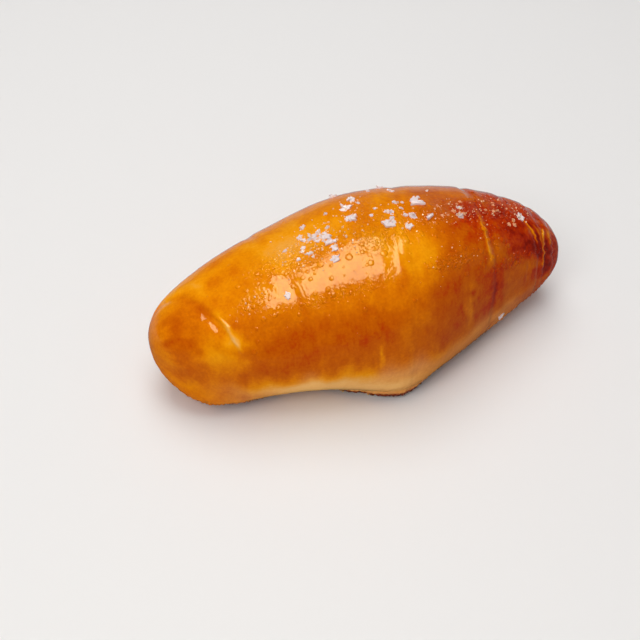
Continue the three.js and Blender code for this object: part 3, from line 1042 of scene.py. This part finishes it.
@dataclass(frozen=True)
class BakedCrust:
    """The crust's whole surface, with its flat sole, as one closed piece."""

    crust: Crust
    browning_and_painted_light: BrowningAndPaintedLight
    rings: int = 394  # Rings of the grid along the roll
    around: int = 250  # Places round each ring
    tip_density: float = 0.35  # How close the rings lie at the tips, as a share of the middle
    crowding: float = 1.6  # How much closer they lie at the wraps' edges
    crowd_at: float = 0.6  # Share of an edge's travel at which they do
    crowd_reach: Pair = (2.5, 0.5)  # Over what length, and what the edge's travel adds to it
    sole_share: float = 0.35  # How densely the sole's part of a ring is filled, as a share of the rest
    fine: int = 6000  # Steps that the running sums are taken in
    lying: float = 0.02  # Height under which a face belongs to the sole

    def ring_places(self) -> Array:
        """Where the rings stand along X.

        A density is laid over the roll, as the sine of a half turn along it and higher beside the wraps'
        edges, and its running sum is cut into equal parts.

        Returns:
            The rings' x, without the two poles.
        """
        turn = np.linspace(0.0, math.pi, self.fine + 1)
        x = -0.5 * self.crust.form.length * np.cos(turn)
        density = self.tip_density + (1.0 - self.tip_density) * np.sin(turn)
        for edge in self.crust.relief.edges:
            reach = self.crowd_reach[0] + self.crowd_reach[1] * abs(edge.travel)
            beside = bell(x, edge.at + self.crowd_at * edge.travel, reach)
            density = density * (1.0 + self.crowding * beside)
        total = np.concatenate([[0.0], np.cumsum(0.5 * (density[1:] + density[:-1]))])
        return np.interp(np.linspace(0.0, total[-1], self.rings + 2)[1:-1], total, x)

    def angles(self) -> Array:
        """Angles of a ring's places: equal steps of the middle section's arc, wider ones under the sole.

        Returns:
            The angles, from the sole's middle once round.
        """
        angle = np.linspace(-0.5 * math.pi, 1.5 * math.pi, 2 * self.fine // 3 + 1)
        section = self.crust.form.points(np.zeros(1), angle, 0.0)
        step = np.linalg.norm(np.diff(section, axis=0), axis=-1)
        share = np.where(section[:-1, 2] <= 0.0, self.sole_share, 1.0)
        total = np.concatenate([[0.0], np.cumsum(share * step)])
        return np.interp(np.linspace(0.0, total[-1], self.around + 1)[:-1], total, angle)

    def make(self, finish: Material, sole: Material) -> Object:
        """Builds the piece: a grid of rings on the crust between two poles.

        Args:
            finish: The crust's material.
            sole: The sole's material.

        Returns:
            The piece, which stands for the roll's solid.
        """
        half = 0.5 * self.crust.form.length
        x, angle = np.meshgrid(self.ring_places(), self.angles(), indexing="ij")
        x = np.concatenate([[-half], x.ravel(), [half]])
        angle = np.concatenate([[0.5 * math.pi], angle.ravel(), [0.5 * math.pi]])
        points = self.crust.points(x, angle)
        faces = shell_faces(self.rings, self.around)
        lying = points[:, 2][faces[0]].max(axis=-1) < self.lying
        lying = np.concatenate([lying, np.zeros(len(faces[1]), bool)])
        piece = make_piece(Dressing("roll_crust", Slot.CRUST, (finish, sole)), points, faces, lying)
        dress_crust(piece, self.crust, self.browning_and_painted_light, x, np.degrees(angle), points[:, 2])
        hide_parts(CAD_ROLL)
        return piece


def dress_crust(
    piece: Object, crust: Crust, browning_and_painted_light: BrowningAndPaintedLight, x: Array, degrees: Array, height: Array
) -> None:
    """Gives each vertex of a crust piece its browning, with the painted shade low at the foot, and its place
    in the wraps' own coordinates.

    The wraps' coordinate is x less the travel that the nearest wraps have made by that angle, so that a
    streak of constant coordinate follows them, and the second one is the arc round the roll.

    Args:
        piece: The piece.
        crust: The roll's surface.
        browning_and_painted_light: How it is browned, with its painted sheens and shade.
        x: Places of the vertices along the roll.
        degrees: Angles round it.
        height: Their heights over the table, where the lowest part is darkened: partly scorched, partly
            painted shade of the gap under the lip.
    """
    edges, angle = crust.relief.edges, np.radians(degrees)
    travel = np.interp(x, [edge.at for edge in edges], [edge.travel for edge in edges])
    own = [unwrapped(x, travel, angle), crust.relief.mean_radius * angle, np.zeros_like(angle)]
    set_values(piece, "wrap_place", np.stack(own, axis=-1))
    # Painted shade: the lowest band over the table is darkened, partly as scorch and partly as the shade in
    # the gap under the lip.
    browned_and_shaded = browning_and_painted_light.level(x, degrees, crust.relief) + browning_and_painted_light.scorch_and_shade.value(height)
    set_values(piece, "browning_and_painted_light", browned_and_shaded)
    set_values(piece, "roughened", Roughening().level(x, degrees))
    set_values(piece, "dry_and_sheen", browning_and_painted_light.dryness_and_sheen(x, degrees))


@dataclass(frozen=True)
class Blisters:
    """Small glazed bubbles of the crust: single large ones, and fine ones strewn over the crown."""

    crust: Crust
    browning_and_painted_light: BrowningAndPaintedLight
    # The large ones: x, degrees and diameter
    named: tuple[Triple, ...] = (
        (-26.1, 109.3, 1.5), (-24.9, 116.9, 1.6), (-21.6, 114.0, 1.7), (-21.0, 110.8, 0.9),
        (-19.5, 105.0, 1.5), (-18.0, 110.9, 1.5), (-17.9, 113.8, 1.2), (-15.7, 109.8, 2.4),
        (-8.0, 102.6, 1.4), (-7.1, 111.4, 2.5), (-1.0, 118.4, 2.1), (3.4, 114.4, 2.4),
    )
    # Patches of fine ones: x, degrees, spread along X, fan of the degrees, number, and rise as a share
    strewn: tuple[tuple[float, float, float, float, int, float], ...] = (
        (-22, 101, 11, 8, 260, 0.13), (3, 106, 8, 10, 70, 0.10), (20, 96, 14, 14, 90, 0.13),
        (46, 78, 9, 12, 260, 0.16), (40, 112, 6, 22, 110, 0.13), (-37, 121, 4, 5, 40, 0.11),
        (-10, 131, 14, 5, 70, 0.12), (24, 130, 9, 6, 90, 0.13), (48, 148, 10, 5, 110, 0.13),
        (0, 115, 50, 45, 160, 0.09),
    )
    scatter: float = 0.6  # Deviation of a place, as a share of its patch's spread or fan
    least: float = 0.45  # Diameter of the finest
    most: float = 1.9  # Diameter of the largest strewn one
    fineness: float = 2.5  # Power of the draw that makes most of them fine
    rise: float = 0.09  # Height of a large one as a share of its diameter
    kept: float = 0.46  # Share of the roll's length within which they stay
    around: int = 10  # Places round each dome
    rings: Rings = ((-0.8, 0.95), (0.0, 1.0), (0.52, 0.85), (0.86, 0.52), (1.0, 0.16))  # Rise and scale
    seed: int = 23  # Seed of the strewing

    def places(self) -> tuple[Array, Array, Array, Array]:
        """The places and sizes of all blisters: the named ones, then the strewn ones by their seeded draws.

        Returns:
            Their x, degrees, diameters and heights.
        """
        random = np.random.default_rng(self.seed)
        x, degrees, size = (list(values) for values in zip(*self.named))
        rise = [self.rise] * len(x)
        for at, angle, spread, fan, count, share in self.strewn:
            x.extend(random.normal(at, spread * self.scatter, count))
            degrees.extend(random.normal(angle, fan * self.scatter, count))
            size.extend(self.least + (self.most - self.least) * random.random(count) ** self.fineness)
            rise.extend([share] * count)
        x, degrees, size, rise = (np.array(values) for values in (x, degrees, size, rise))
        keep = np.abs(x) < self.kept * self.crust.form.length
        return x[keep], degrees[keep], size[keep], (size * rise)[keep]

    def make(self, finish: Material) -> Object:
        """Builds the piece: domes whose rings follow a quarter of a cosine up to the top.

        Args:
            finish: The crust's material.

        Returns:
            The piece.
        """
        x, degrees, size, height = self.places()
        frames = self.crust.frames(x, degrees)
        angle = np.linspace(0.0, 2.0 * math.pi, self.around, endpoint=False)
        outline = 0.5 * size[:, None, None] * np.stack([np.cos(angle), np.sin(angle)], axis=-1)
        local = stack_rings(outline, height, self.rings)
        dressing = Dressing("crust_blisters", Slot.CRUST, (finish,))
        piece = make_shells(dressing, local, frames, self.around)
        spread = (np.repeat(values, local.shape[1]) for values in (x, degrees, frames[0][:, 2]))
        dress_crust(piece, self.crust, self.browning_and_painted_light, *spread)
        return piece


class Mulberry:
    """The repeatable stream of random numbers that places the sprinkled salt (32-bit mulberry)."""

    def __init__(self, seed: int) -> None:
        """Starts the stream."""
        self.state = seed

    def draw(self) -> float:
        """The next number from 0 to 1: the state moved on by a constant and mixed by products and shifts.

        Returns:
            The number.
        """
        word = 0xFFFFFFFF
        self.state = (self.state + 0x6D2B79F5) & word
        mixed = ((self.state ^ (self.state >> 15)) * (1 | self.state)) & word
        mixed = ((mixed + (((mixed ^ (mixed >> 7)) * (61 | mixed)) & word)) & word) ^ mixed
        return ((mixed ^ (mixed >> 14)) & word) / 2**32

    def stray(self) -> float:
        """A rough bell from -1.5 to 1.5: the sum of three draws less its middle."""
        return self.draw() + self.draw() + self.draw() - 1.5


@dataclass(frozen=True)
class Flake:
    """One flake of salt lying on the crust."""

    x: float  # Place along the roll
    angle: float  # Place round it in degrees
    length: float  # Its length
    breadth: float  # Its breadth
    turn: float  # Its turn on the crust in degrees


@dataclass(frozen=True)
class Sprinkle:
    """A patch of smaller crystals, strewn by the salt's stream of draws."""

    x: float  # Place along the roll
    angle: float  # Place round it in degrees
    spread: float  # Spread along X
    fan: float  # Fan of the degrees
    count: int  # Number of crystals
    least: float  # Length of the smallest
    most: float  # Length of the largest
    melted: bool = False  # Whether they have melted clear
    slimmest: float = 0.6  # Least breadth as a share of the length

    def strew(self, stream: Mulberry) -> list[Flake]:
        """The crystals: each takes its length, breadth, place, angle and turn from the stream in that order.

        Args:
            stream: The salt's stream of random numbers.

        Returns:
            The crystals.
        """
        flakes = []
        for _ in range(self.count):
            length = self.least + (self.most - self.least) * stream.draw()
            breadth = length * (self.slimmest + (1.0 - self.slimmest) * stream.draw())
            x = self.x + self.spread * stream.stray()
            angle = self.angle + self.fan * stream.stray()
            flakes.append(Flake(x, angle, length, breadth, 360.0 * stream.draw()))
        return flakes


@dataclass(frozen=True)
class SaltFlakes:
    """The flakes that stand out: thin crystal plates, each doubled, with a stepped and sunken middle."""

    crust: Crust
    large: tuple[Flake, ...] = each(
        Flake,
        (-5.5, 52, 2.6, 2.0, 20), (9.7, 53, 2.4, 2.2, 45), (-1.2, 71, 3.1, 2.6, 75), (-4.3, 79, 3.9, 2.3, 10),
        (-3.7, 88, 4.9, 2.4, 160), (7.3, 96, 4.7, 3.3, 5), (9.1, 89, 2.2, 1.6, 85), (13.4, 91, 2.0, 1.7, 30),
        (15.7, 93, 3.0, 2.1, 125), (13.4, 100, 3.1, 2.8, 60), (18.7, 82, 5.2, 4.2, 15),
        (21.0, 94, 4.4, 1.5, 40), (31.2, 94, 3.3, 2.2, 150), (32.3, 86, 2.6, 1.2, 5),
        (53.2, 89, 3.6, 3.1, 70), (-16.3, 91, 4.3, 1.8, 5), (-12.8, 93, 4.8, 2.9, 130),
        (-11.6, 98, 4.0, 2.6, 25), (-10.6, 103, 3.0, 2.0, 100), (-11.0, 110, 3.2, 2.3, 15),
        (-18.1, 80, 2.3, 1.7, 50), (-19.6, 87, 2.2, 2.0, 80), (-18.1, 100, 2.4, 2.0, 35),
        (-26.8, 122, 2.7, 2.0, 95), (45.5, 205, 2.8, 1.6, 15),
    )
    sprinkles: tuple[Sprinkle, ...] = each(
        Sprinkle,
        (-15, 95, 8, 10, 16, 1.0, 2.2),
        (9, 92, 8, 11, 10, 1.0, 2.0),
        (28, 88, 9, 11, 10, 0.9, 1.8, True),
        (46, 90, 7, 15, 9, 0.9, 1.6, True),
        (0, 78, 32, 22, 9, 0.9, 1.7),
    )
    seed: int = 41  # Seed of the salt's stream
    corners: int = 5  # Corners of a flake
    corner_shift: float = 0.3  # How far a corner strays, as a share of the angle between corners
    corner_cut: float = 0.3  # How much of the radius a corner may lose
    spread: float = 1.35  # How much larger a flake is than its length and breadth, for its broken sides
    lean: float = 20.0  # How many degrees a flake leans off the crust, at most
    thickness: float = 0.06  # Thickness as a share of the length
    least_thickness: float = 0.18  # What is added to that
    # Rise and scale of a plate's rings: a bevelled edge, a rim and a sunken middle
    rings: Rings = ((-0.8, 0.92), (-0.2, 1.0), (0.75, 1.0), (1.0, 0.95), (1.0, 0.66), (0.8, 0.6), (0.8, 0.3))
    upper_share: float = 0.62  # Size of the plate on top of each as a share of it
    upper_thickness: float = 0.7  # Its thickness as a share
    upper_place: Triple = (0.18, -0.1, 0.8)  # Where it lies, in lengths, lengths and thicknesses
    upper_turn: float = 2.4  # Its turn in radians, by which it also leans more
    breakage: float = 0.35  # How far the broken sides are notched, as a share of the radius
    notches: Triple = (0.0, 0.36, 0.7)  # Shares of a side where its points stand

    def outlines(self, flakes: list[Flake], stream: Mulberry) -> tuple[Array, Array]:
        """Outlines of the flakes and how they lean.

        A corner stands at its share of the turn, strayed, on an ellipse of the flake's size, with part of the
        radius cut. Each flake takes two draws for a corner and two for its lean.

        Args:
            flakes: The flakes.
            stream: The salt's stream of random numbers.

        Returns:
            The outlines, flakes by corners by two, and the two leans in radians.
        """
        outlines, leans = [], []
        for flake in flakes:
            outline = []
            for corner in range(self.corners):
                strayed = corner + self.corner_shift * (2.0 * stream.draw() - 1.0)
                around = 2.0 * math.pi * strayed / self.corners
                radius = 0.5 * self.spread * (1.0 - self.corner_cut * stream.draw())
                along = radius * flake.length * math.cos(around)
                outline.append((along, radius * flake.breadth * math.sin(around)))
            outlines.append(outline)
            leans.append([math.radians(self.lean * (2.0 * stream.draw() - 1.0)) for _ in range(2)])
        return np.array(outlines), np.array(leans)

    def broken(self, outlines: Array) -> Array:
        """Breaks the straight sides: each gets two more points, moved in or out by a seeded draw.

        The points lie about a third and two thirds along a side, and are scaled about the flake's middle by a
        factor drawn between 1 less the breakage and 1 plus a quarter of it.

        Args:
            outlines: Outlines of the flakes, flakes by corners by two.

        Returns:
            Outlines with three times as many corners.
        """
        random = np.random.default_rng(self.seed)
        following = np.roll(outlines, -1, axis=1)
        shares = np.array(self.notches)[:, None]
        points = outlines[:, :, None] * (1.0 - shares) + following[:, :, None] * shares
        factor = 1.0 + self.breakage * random.uniform(-1.0, 0.25, points.shape[:3])
        factor[:, :, 0] = 1.0
        return (points * factor[..., None]).reshape(len(outlines), -1, 2)

    def make(self, finish: Material, clear: Material) -> Object:
        """Builds the piece: plates with bevelled edges and a stepped middle, and a smaller plate on each.

        Args:
            finish: The salt's material.
            clear: The material of the flakes that have melted clear.

        Returns:
            The piece.
        """
        stream = Mulberry(self.seed)
        flakes, melted = [*self.large], [False] * len(self.large)
        for sprinkle in self.sprinkles:
            flakes.extend(sprinkle.strew(stream))
            melted.extend([sprinkle.melted] * sprinkle.count)
        outline, leans = self.outlines(flakes, stream)
        outline = self.broken(outline)
        x, degrees, length, turn = np.array([(f.x, f.angle, f.length, f.turn) for f in flakes], float).T
        thick = self.thickness * length + self.least_thickness
        plate = stack_rings(outline, thick, self.rings)
        smaller = self.upper_share * outline[:, ::-1] * np.array([1.0, -1.0])
        upper = stack_rings(smaller, self.upper_thickness * thick, self.rings)
        upper = upper + (np.array(self.upper_place) * np.stack([length, length, thick], axis=-1))[:, None]
        spin = np.radians(turn)
        plate = lean_and_turn(plate, leans, spin)
        upper = lean_and_turn(upper, leans * (1.0 + self.upper_turn), spin + self.upper_turn)
        frames = tuple(np.concatenate([part, part]) for part in self.crust.frames(x, degrees))
        dressing = Dressing("salt_flakes", Slot.SALT, (finish, clear), smooth=False)
        local = np.concatenate([plate, upper])
        return make_shells(dressing, local, frames, outline.shape[1], np.array(melted * 2))


@dataclass(frozen=True)
class Lumps:
    """Small uneven lumps of one kind, made by seeded draws."""

    crust: Crust
    seed: int = 31  # Seed of the draws
    least: float = 0.25  # Size of the smallest
    most: float = 0.9  # Size of the largest
    corners: int = 5  # Places round each lump
    corner_shift: float = 0.25  # How far a corner strays, as a share of the step between two
    shape: Triple = (0.7, 1.0, 0.8)  # Least and greatest share of the radius, and breadth in lengths
    squatness: float = 0.7  # Height as a share of the size
    rings: Rings = ((-0.5, 0.7), (0.1, 1.0), (0.5, 0.75))  # Rise and scale
    lean: float = math.radians(25.0)  # How far a lump leans, at most
    turn: float = 2.0 * math.pi  # How far it is turned, at most

    def sizes(self, random: np.random.Generator, count: int) -> Array:
        """Sizes of some lumps, most of them small: from the least to the most by the square of a draw."""
        return self.least + (self.most - self.least) * random.random(count) ** 2.0

    def shells(self, random: np.random.Generator, size: Array) -> Array:
        """The lumps in their own axes: corners at even steps that stray, each with a radius of its own.

        Args:
            random: The draws: the corners' angles, their radii, the leans and the turns, in that order.
            size: Size of each lump.

        Returns:
            Their points, lumps by points by three.
        """
        least, most, breadth = self.shape
        stray = random.uniform(-self.corner_shift, self.corner_shift, (len(size), self.corners))
        angle = 2.0 * math.pi / self.corners * (np.arange(self.corners) + stray)
        radius = 0.5 * size[:, None] * random.uniform(least, most, angle.shape)
        outline = np.stack([radius * np.cos(angle), breadth * radius * np.sin(angle)], axis=-1)
        leans = random.uniform(-self.lean, self.lean, (len(size), 2))
        turns = random.uniform(0.0, self.turn, len(size))
        return lean_and_turn(stack_rings(outline, self.squatness * size, self.rings), leans, turns)


@dataclass(frozen=True)
class SaltGrains(Lumps):
    """Fine salt between the flakes: squat crystals strewn by seeded draws."""

    # x, degrees, spread along X, fan of the degrees and number of each patch
    patches: tuple[tuple[float, float, float, float, int], ...] = (
        (-16, 96, 9, 9, 230), (-3, 84, 6, 8, 35), (12, 94, 10, 9, 55), (30, 88, 10, 9, 60),
        (46, 84, 9, 11, 90), (-37, 122, 6, 7, 18), (24, 128, 10, 8, 16),
    )
    scatter: float = 0.7  # Deviation of a place, as a share of its patch's spread or fan

    def make(self, finish: Material) -> Object:
        """Builds the piece: crystals with uneven corners, half sunk in the crust.

        Args:
            finish: The salt's material.

        Returns:
            The piece.
        """
        random = np.random.default_rng(self.seed)
        x = [random.normal(at, self.scatter * spread, count) for at, _, spread, _, count in self.patches]
        degrees = [random.normal(at, self.scatter * fan, count) for _, at, _, fan, count in self.patches]
        frames = self.crust.frames(np.concatenate(x), np.concatenate(degrees))
        local = self.shells(random, self.sizes(random, len(frames[0])))
        return make_shells(Dressing("salt_grains", Slot.SALT, (finish,), False), local, frames, self.corners)


@dataclass(frozen=True)
class CrumbRim(Lumps):
    """Crumbs along the edge of the sole, where the crust tore off the baking sheet."""

    seed: int = 17
    corners: int = 6
    corner_shift: float = 0.3
    shape: Triple = (0.7, 1.1, 1.0)
    squatness: float = 0.8
    rings: Rings = ((-0.45, 0.5), (-0.25, 0.9), (0.1, 1.0), (0.4, 0.6))
    lean: float = 0.5
    turn: float = 0.0
    count: int = 420  # Number of crumbs
    in_front: float = 0.75  # Share of them that lies at the front
    front: Pair = (-42.0, 22.0)  # Stretch along X where those lie
    behind: Pair = (-52.0, 50.0)  # The same for the others
    lowest: float = 70.0  # Degrees under the widest line down to which the wall is looked through
    looks: int = 141  # Places that are looked at
    height: float = 0.9  # How far above the table they reach
    sinking: float = 0.35  # How far above it they begin, as a share of their size

    def make(self, finish: Material) -> Object:
        """Builds the piece: small uneven lumps whose middles lie on the crust's lowest band.

        The angle of the band is where the crust comes down to a drawn height: it is read off each place's own
        column of points.

        Args:
            finish: The crumbs' material.

        Returns:
            The piece.
        """
        random = np.random.default_rng(self.seed)
        front = random.random(self.count) < self.in_front
        x = np.where(front, random.uniform(*self.front, self.count), random.uniform(*self.behind, self.count))
        size = self.sizes(random, self.count)
        down = np.radians(np.linspace(0.0, self.lowest, self.looks))[None]
        column = self.crust.points(x[:, None], np.where(front[:, None], math.pi + down, -down))
        wanted = self.sinking * size + self.height * random.random(self.count) ** 2.0
        nearest = np.abs(column[..., 2] - wanted[:, None]).argmin(axis=1)
        place = column[np.arange(self.count), nearest]
        local = self.shells(random, size)
        local[..., 2] = np.maximum(local[..., 2], -place[:, None, 2])
        frames = place, np.broadcast_to(np.eye(3), (self.count, 3, 3))
        return make_shells(Dressing("crumb_rim", Slot.SOLE, (finish,)), local, frames, self.corners)


# ---- Studio ----


YELLOWISH = (1.0, 0.90, 0.56)

@dataclass(frozen=True)
class View:
    """The camera: where it looks, from which side, and how far off, in millimetres and degrees."""

    target: Triple = (-13.1, 1.5, 9.55)  # The point it looks at
    azimuth: float = -10.66  # Its side: 0 looks along +Y
    elevation: float = 44.17  # Its height over the horizon
    distance: float = 410.6  # Its distance from the target
    lens: float = 69.98  # Focal length
    sensor: float = 36.0  # Sensor width
    clip: Pair = (10.0, 20000.0)  # Nearest and farthest that it sees

    def make(self) -> Object:
        """Makes the camera and hands the scene to it.

        Returns:
            The camera object.
        """
        azimuth, elevation = math.radians(self.azimuth), math.radians(self.elevation)
        level = math.cos(elevation)
        back = Vector((math.sin(azimuth) * level, -math.cos(azimuth) * level, math.sin(elevation)))
        data = bpy.data.cameras.new("photo_view")
        data.lens, data.sensor_width = self.lens, self.sensor
        data.clip_start, data.clip_end = (distance * MM for distance in self.clip)
        camera = add_object("photo_view", data)
        camera.location = (Vector(self.target) + back * self.distance) * MM
        camera.rotation_euler = (-back).to_track_quat("-Z", "Y").to_euler()
        bpy.context.scene.camera = camera
        return camera


@dataclass(frozen=True)
class Lamp:
    """A rectangular soft light, its places and sizes in metres."""

    name: str  # Its name
    place: Triple  # Where it hangs
    aim: Triple  # The point it faces
    size: Pair  # Its two sides
    watts: float  # Its power
    lights: bool = True  # Whether it lights matte surfaces
    mirrored: bool = False  # Whether it shows in glossy reflections
    colour: Colour = (1.0, 1.0, 1.0)  # Its colour

    def make(self) -> Object:
        """Makes the light, its sides along X and Y when it faces straight down.

        Returns:
            The light object.
        """
        data = bpy.data.lights.new(self.name, "AREA")
        data.shape = "RECTANGLE"
        data.size, data.size_y = self.size
        data.energy, data.color = self.watts, self.colour
        lamp = add_object(self.name, data)
        lamp.location = self.place
        lamp.rotation_euler = (Vector(self.aim) - Vector(self.place)).to_track_quat("-Z", "Y").to_euler()
        lamp.visible_diffuse, lamp.visible_glossy = self.lights, self.mirrored
        return lamp


@dataclass(frozen=True)
class Studio:
    """A plain pale floor under one large soft light, with an even light from all sides, in metres.

    The gloss has a light of its own beside the soft light's place, and its own room.
    """

    lamps: tuple[Lamp, ...] = each(
        Lamp,
        ("softbox", (-0.045, 0.18, 0.93), (-0.045, 0.18, 0), (0.576, 1.08), 5.9),
        ("gloss_panel", (-0.117, 0.05, 0.92), (-0.117, 0.05, 0), (0.465, 0.67), 13, False, True, YELLOWISH),
        ("front_fill", (-0.6, -0.85, 1.15), (0, 0, 0.02), (1.0, 0.8), 9.5),
    )
    floor_colour: Colour = (0.80, 0.785, 0.775)  # Colour of the floor
    floor_radius: float = 4.0  # Radius of the floor
    floor_look: Pair = (0.6, 0.2)  # Its roughness and the strength of its reflection
    around: int = 96  # Places round the floor
    ambient: float = 0.26  # Strength of the even light from all sides
    # Painted shade: the y between which the floor's share of its own colour in the gloss goes over, and the
    # two shares; it is mirrored darkest in front of the roll
    gloss_floor: Four = (0.0, 0.06, 0.14, 0.62)
    # Sines of the height between which the room's brightness in the gloss goes over, and the two brightnesses
    gloss_room: Four = (-0.5, 0.5, 0.42, 0.02)
    gloss_side: Triple = (0.8, 0.6, 0.0)  # Way towards the room's brighter side
    # How far that way its share of the brightness goes over, and the two shares
    gloss_across: Four = (-0.6, 0.8, 0.15, 1.0)

    def floor(self) -> Object:
        """Makes the floor: a flat disc, a fan of triangles round its middle.

        Returns:
            The floor object.
        """
        angle = np.linspace(0.0, 2.0 * math.pi, self.around, endpoint=False)
        rim = self.floor_radius * np.stack([np.cos(angle), np.sin(angle), 0.0 * angle], axis=-1)
        start = np.arange(self.around)
        fan = np.stack([np.zeros_like(start), 1 + start, 1 + (start + 1) % self.around], axis=-1)
        mesh = bpy.data.meshes.new("studio_floor")
        mesh.from_pydata(np.concatenate([np.zeros((1, 3)), rim]), [], fan.tolist())
        mesh.materials.append(self.paint())
        mesh.update()
        floor = add_object("studio_floor", mesh)
        return floor

    def paint(self) -> Material:
        """The floor's plain, matte material, with painted shade where a glossy ray meets it: dimmer there,
        above all before the roll.

        Returns:
            The material.
        """
        sheet = NodeSheet(bpy.data.materials.new("floor_paint"))
        mirrored = sheet.add("LightPath").outputs["Is Glossy Ray"]
        share = sheet.between(sheet.add("SeparateXYZ", sheet.solid).outputs["Y"], *self.gloss_floor)
        lost = sheet.calculate("MULTIPLY", mirrored, sheet.calculate("ADD", share, -1.0))
        kept = sheet.calculate("ADD", 1.0, lost)
        colour = sheet.colours(kept, ((0.0, 0.0, 0.0, 0.0), (1.0, *self.floor_colour)))
        roughness, specular = self.floor_look
        look = {"Roughness": roughness, "Specular_IOR_Level": specular}
        return sheet.finish(sheet.add("BsdfPrincipled", Base_Color=colour, **look))

    def surroundings(self) -> bpy.types.World:
        """Makes the world: an even light on matte surfaces, and a room, brighter on one side, in the gloss.

        Returns:
            The world.
        """
        sheet = NodeSheet(bpy.data.worlds.new("studio"), "OutputWorld")
        way = sheet.add("TexCoord").outputs["Generated"]
        height = sheet.between(sheet.add("SeparateXYZ", way).outputs["Z"], *self.gloss_room)
        height.node.interpolation_type = "SMOOTHSTEP"
        turned = sheet.add("VectorMath", way, self.gloss_side)
        turned.operation = "DOT_PRODUCT"
        across = sheet.between(turned.outputs["Value"], *self.gloss_across)
        room = sheet.add("Background", Strength=sheet.calculate("MULTIPLY", height, across))
        even = sheet.add("Background", (1.0, 1.0, 1.0, 1.0), self.ambient)
        mirrored = sheet.add("LightPath").outputs["Is Glossy Ray"]
        return sheet.finish(sheet.add("MixShader", mirrored, even.outputs[0], room.outputs[0]))

    def make(self) -> None:
        """Makes the floor, the lights and the surroundings, and sets a plain view transform."""
        self.floor()
        for lamp in self.lamps:
            lamp.make()
        scene = bpy.context.scene
        scene.world = self.surroundings()
        scene.view_settings.view_transform = "Standard"
        LOG.info("studio: %d lights", len(self.lamps))


def main() -> None:
    """Builds the camera, the studio, and the roll's pieces in order."""
    logging.basicConfig(level=logging.INFO, format="%(name)s: %(message)s")
    View().make()
    Studio().make()
    crust, browning_and_painted_light = Crust(), BrowningAndPaintedLight()
    crust_finish = CrustFinish().make()
    sole_finish = SoleFinish().make()
    crumb_finish = SoleFinish("baked_crumb", (0.88, 0.62, 0.25), (0.62, 0.30, 0.06), 1.2).make()
    flake_finish = SaltFinish("salt_flake", (0.97, 0.84, 0.84), (0.95, 0.60, 0.36), 0.2, 0.07).make()
    grain_finish = SaltFinish("wet_salt", (0.97, 0.62, 0.36), (0.92, 0.42, 0.12), 0.08, 0.04).make()
    melted_finish = SaltFinish("melted_salt", (0.88, 0.42, 0.22), (0.74, 0.24, 0.06), 0.08, 0.04).make()
    BakedCrust(crust, browning_and_painted_light).make(crust_finish, sole_finish)
    Blisters(crust, browning_and_painted_light).make(crust_finish)
    SaltFlakes(crust).make(flake_finish, melted_finish)
    SaltGrains(crust).make(grain_finish)
    CrumbRim(crust).make(crumb_finish)


if __name__ == "__main__":
    main()
